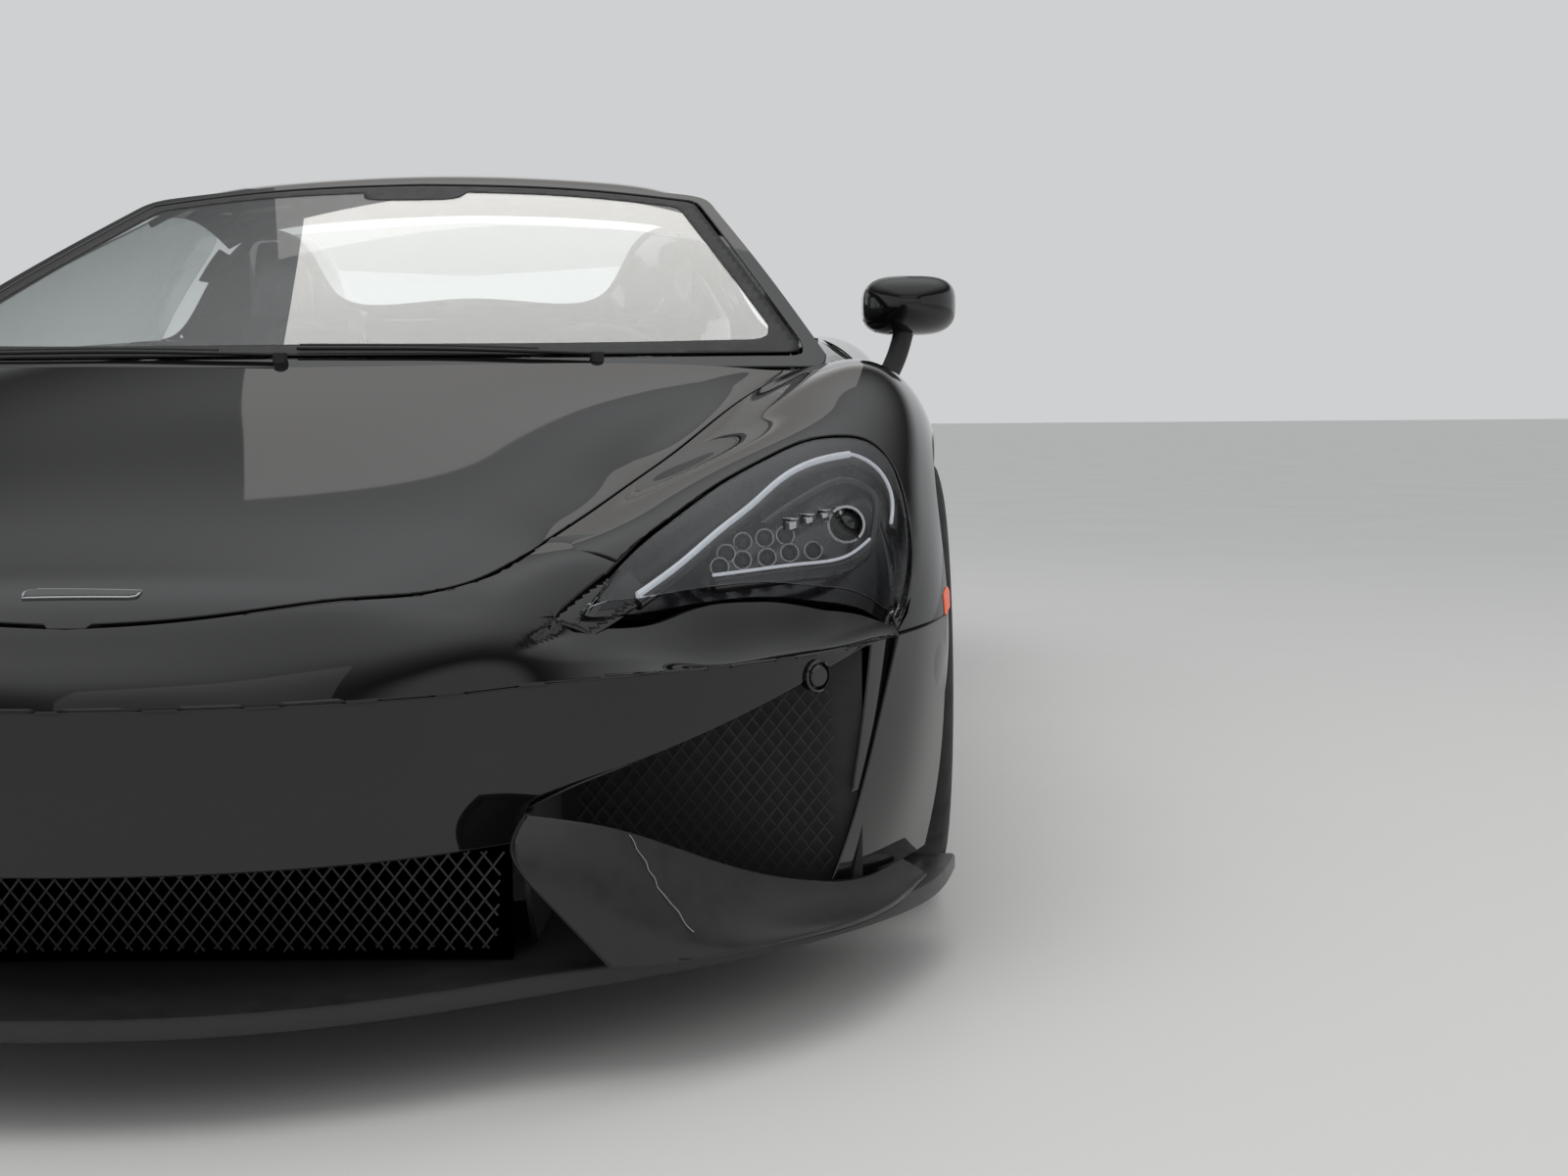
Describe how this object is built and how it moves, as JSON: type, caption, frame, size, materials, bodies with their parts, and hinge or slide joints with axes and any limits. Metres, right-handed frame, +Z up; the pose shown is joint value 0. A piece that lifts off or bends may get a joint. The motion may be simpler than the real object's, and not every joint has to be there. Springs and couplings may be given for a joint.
{
  "type": "convertible supercar",
  "caption": "Low mid-engined two-seat convertible with a folding hard top shown closed, deep front splitter, upswept lamps and doors that open up and out.",
  "frame": {"origin": "on the ground under the middle of the car", "axes": "+X forward along the car, +Y to the car's left, +Z up"},
  "size_m": [4.53, 2.06, 1.2],
  "materials": {
    "paint": "gloss black paint",
    "satin_black": "satin black composite",
    "carbon": "dark moulded composite",
    "lamp_dark": "smoked lamp cover",
    "lamp_red": "red lamp cover",
    "glass": "tinted clear glass",
    "tyre": "black rubber",
    "alloy": "satin metal",
    "cast": "plain dark casting",
    "steel": "plain",
    "plastic": "matt black",
    "trim": "soft dark trim",
    "seat": "dark leather"
  },
  "bodies": {
    "chassis": {"tub": "carbon", "front_bumper": "paint", "front_fenders": "paint", "rear_fenders": "paint", "rear_bumper": "paint", "roof_panel": "paint", "windscreen_frame": "paint", "front_splitter": "satin_black", "side_skirts": "satin_black", "rear_diffuser": "satin_black", "grilles": "satin_black", "headlights": "lamp_dark", "tail_lights": "lamp_red", "windscreen": "glass", "rear_window": "glass", "rear_uprights": "alloy", "wishbones": "alloy", "subframes": "alloy", "engine": "cast", "exhaust": "steel", "arch_liners": "plastic", "luggage_bay": "plastic", "wipers": "plastic", "dashboard": "trim", "centre_console": "trim", "seats": "seat"},
    "door_left": {"door_left": "paint", "window_left": "glass", "mirror_left": "paint"},
    "door_right": {"door_right": "paint", "window_right": "glass", "mirror_right": "paint"},
    "bonnet": {"bonnet": "paint"},
    "tonneau": {"tonneau_cover": "paint"},
    "knuckle_left": {"knuckle_left": "alloy"},
    "knuckle_right": {"knuckle_right": "alloy"},
    "wheel_front_left": {"tyre_front_left": "tyre", "rim_front_left": "alloy"},
    "wheel_front_right": {"tyre_front_right": "tyre", "rim_front_right": "alloy"},
    "wheel_rear_left": {"tyre_rear_left": "tyre", "rim_rear_left": "alloy"},
    "wheel_rear_right": {"tyre_rear_right": "tyre", "rim_rear_right": "alloy"},
    "steering_wheel": {"steering_wheel": "trim"}
  },
  "joints": [
    {"name": "front_left_wheel_spin", "type": "hinge", "parent": "knuckle_left", "child": "wheel_front_left", "pos_m": [1.17, 0.8365, 0.32], "axis": [0, 1, 0], "continuous": true},
    {"name": "front_right_wheel_spin", "type": "hinge", "parent": "knuckle_right", "child": "wheel_front_right", "pos_m": [1.17, -0.8365, 0.32], "axis": [0, 1, 0], "continuous": true},
    {"name": "rear_left_wheel_spin", "type": "hinge", "parent": "chassis", "child": "wheel_rear_left", "pos_m": [-1.5, 0.809, 0.354], "axis": [0, 1, 0], "continuous": true},
    {"name": "rear_right_wheel_spin", "type": "hinge", "parent": "chassis", "child": "wheel_rear_right", "pos_m": [-1.5, -0.809, 0.354], "axis": [0, 1, 0], "continuous": true},
    {"name": "left_steer", "type": "hinge", "parent": "chassis", "child": "knuckle_left", "pos_m": [1.17, 0.738, 0.32], "axis": [0, 0, 1], "range_deg": [-32, 32]},
    {"name": "right_steer", "type": "hinge", "parent": "chassis", "child": "knuckle_right", "pos_m": [1.17, -0.738, 0.32], "axis": [0, 0, 1], "range_deg": [-33, 33]},
    {"name": "steering_wheel_turn", "type": "hinge", "parent": "chassis", "child": "steering_wheel", "pos_m": [0.40321, 0.37, 0.68864], "axis": [-0.9135, 0, 0.4067], "range_deg": [-437.2, 437.2]},
    {"name": "left_door_hinge", "type": "hinge", "parent": "chassis", "child": "door_left", "pos_m": [0.7, 0.925, 0.74], "axis": [0, 0.8, -0.6], "range_deg": [0, 60]},
    {"name": "right_door_hinge", "type": "hinge", "parent": "chassis", "child": "door_right", "pos_m": [0.7, -0.925, 0.74], "axis": [0, 0.8, 0.6], "range_deg": [0, 60]},
    {"name": "bonnet_hinge", "type": "hinge", "parent": "chassis", "child": "bonnet", "pos_m": [0.885, 0, 0.8], "axis": [0, -1, 0], "range_deg": [0, 50]},
    {"name": "tonneau_hinge", "type": "hinge", "parent": "chassis", "child": "tonneau", "pos_m": [-1.51, 0, 0.905], "axis": [0, -1, 0], "range_deg": [0, 40]}
  ],
  "couplings": [
    {"joint": "right_steer", "follows": "left_steer", "ratio": 1},
    {"joint": "steering_wheel_turn", "follows": "left_steer", "ratio": 13.6}
  ]
}
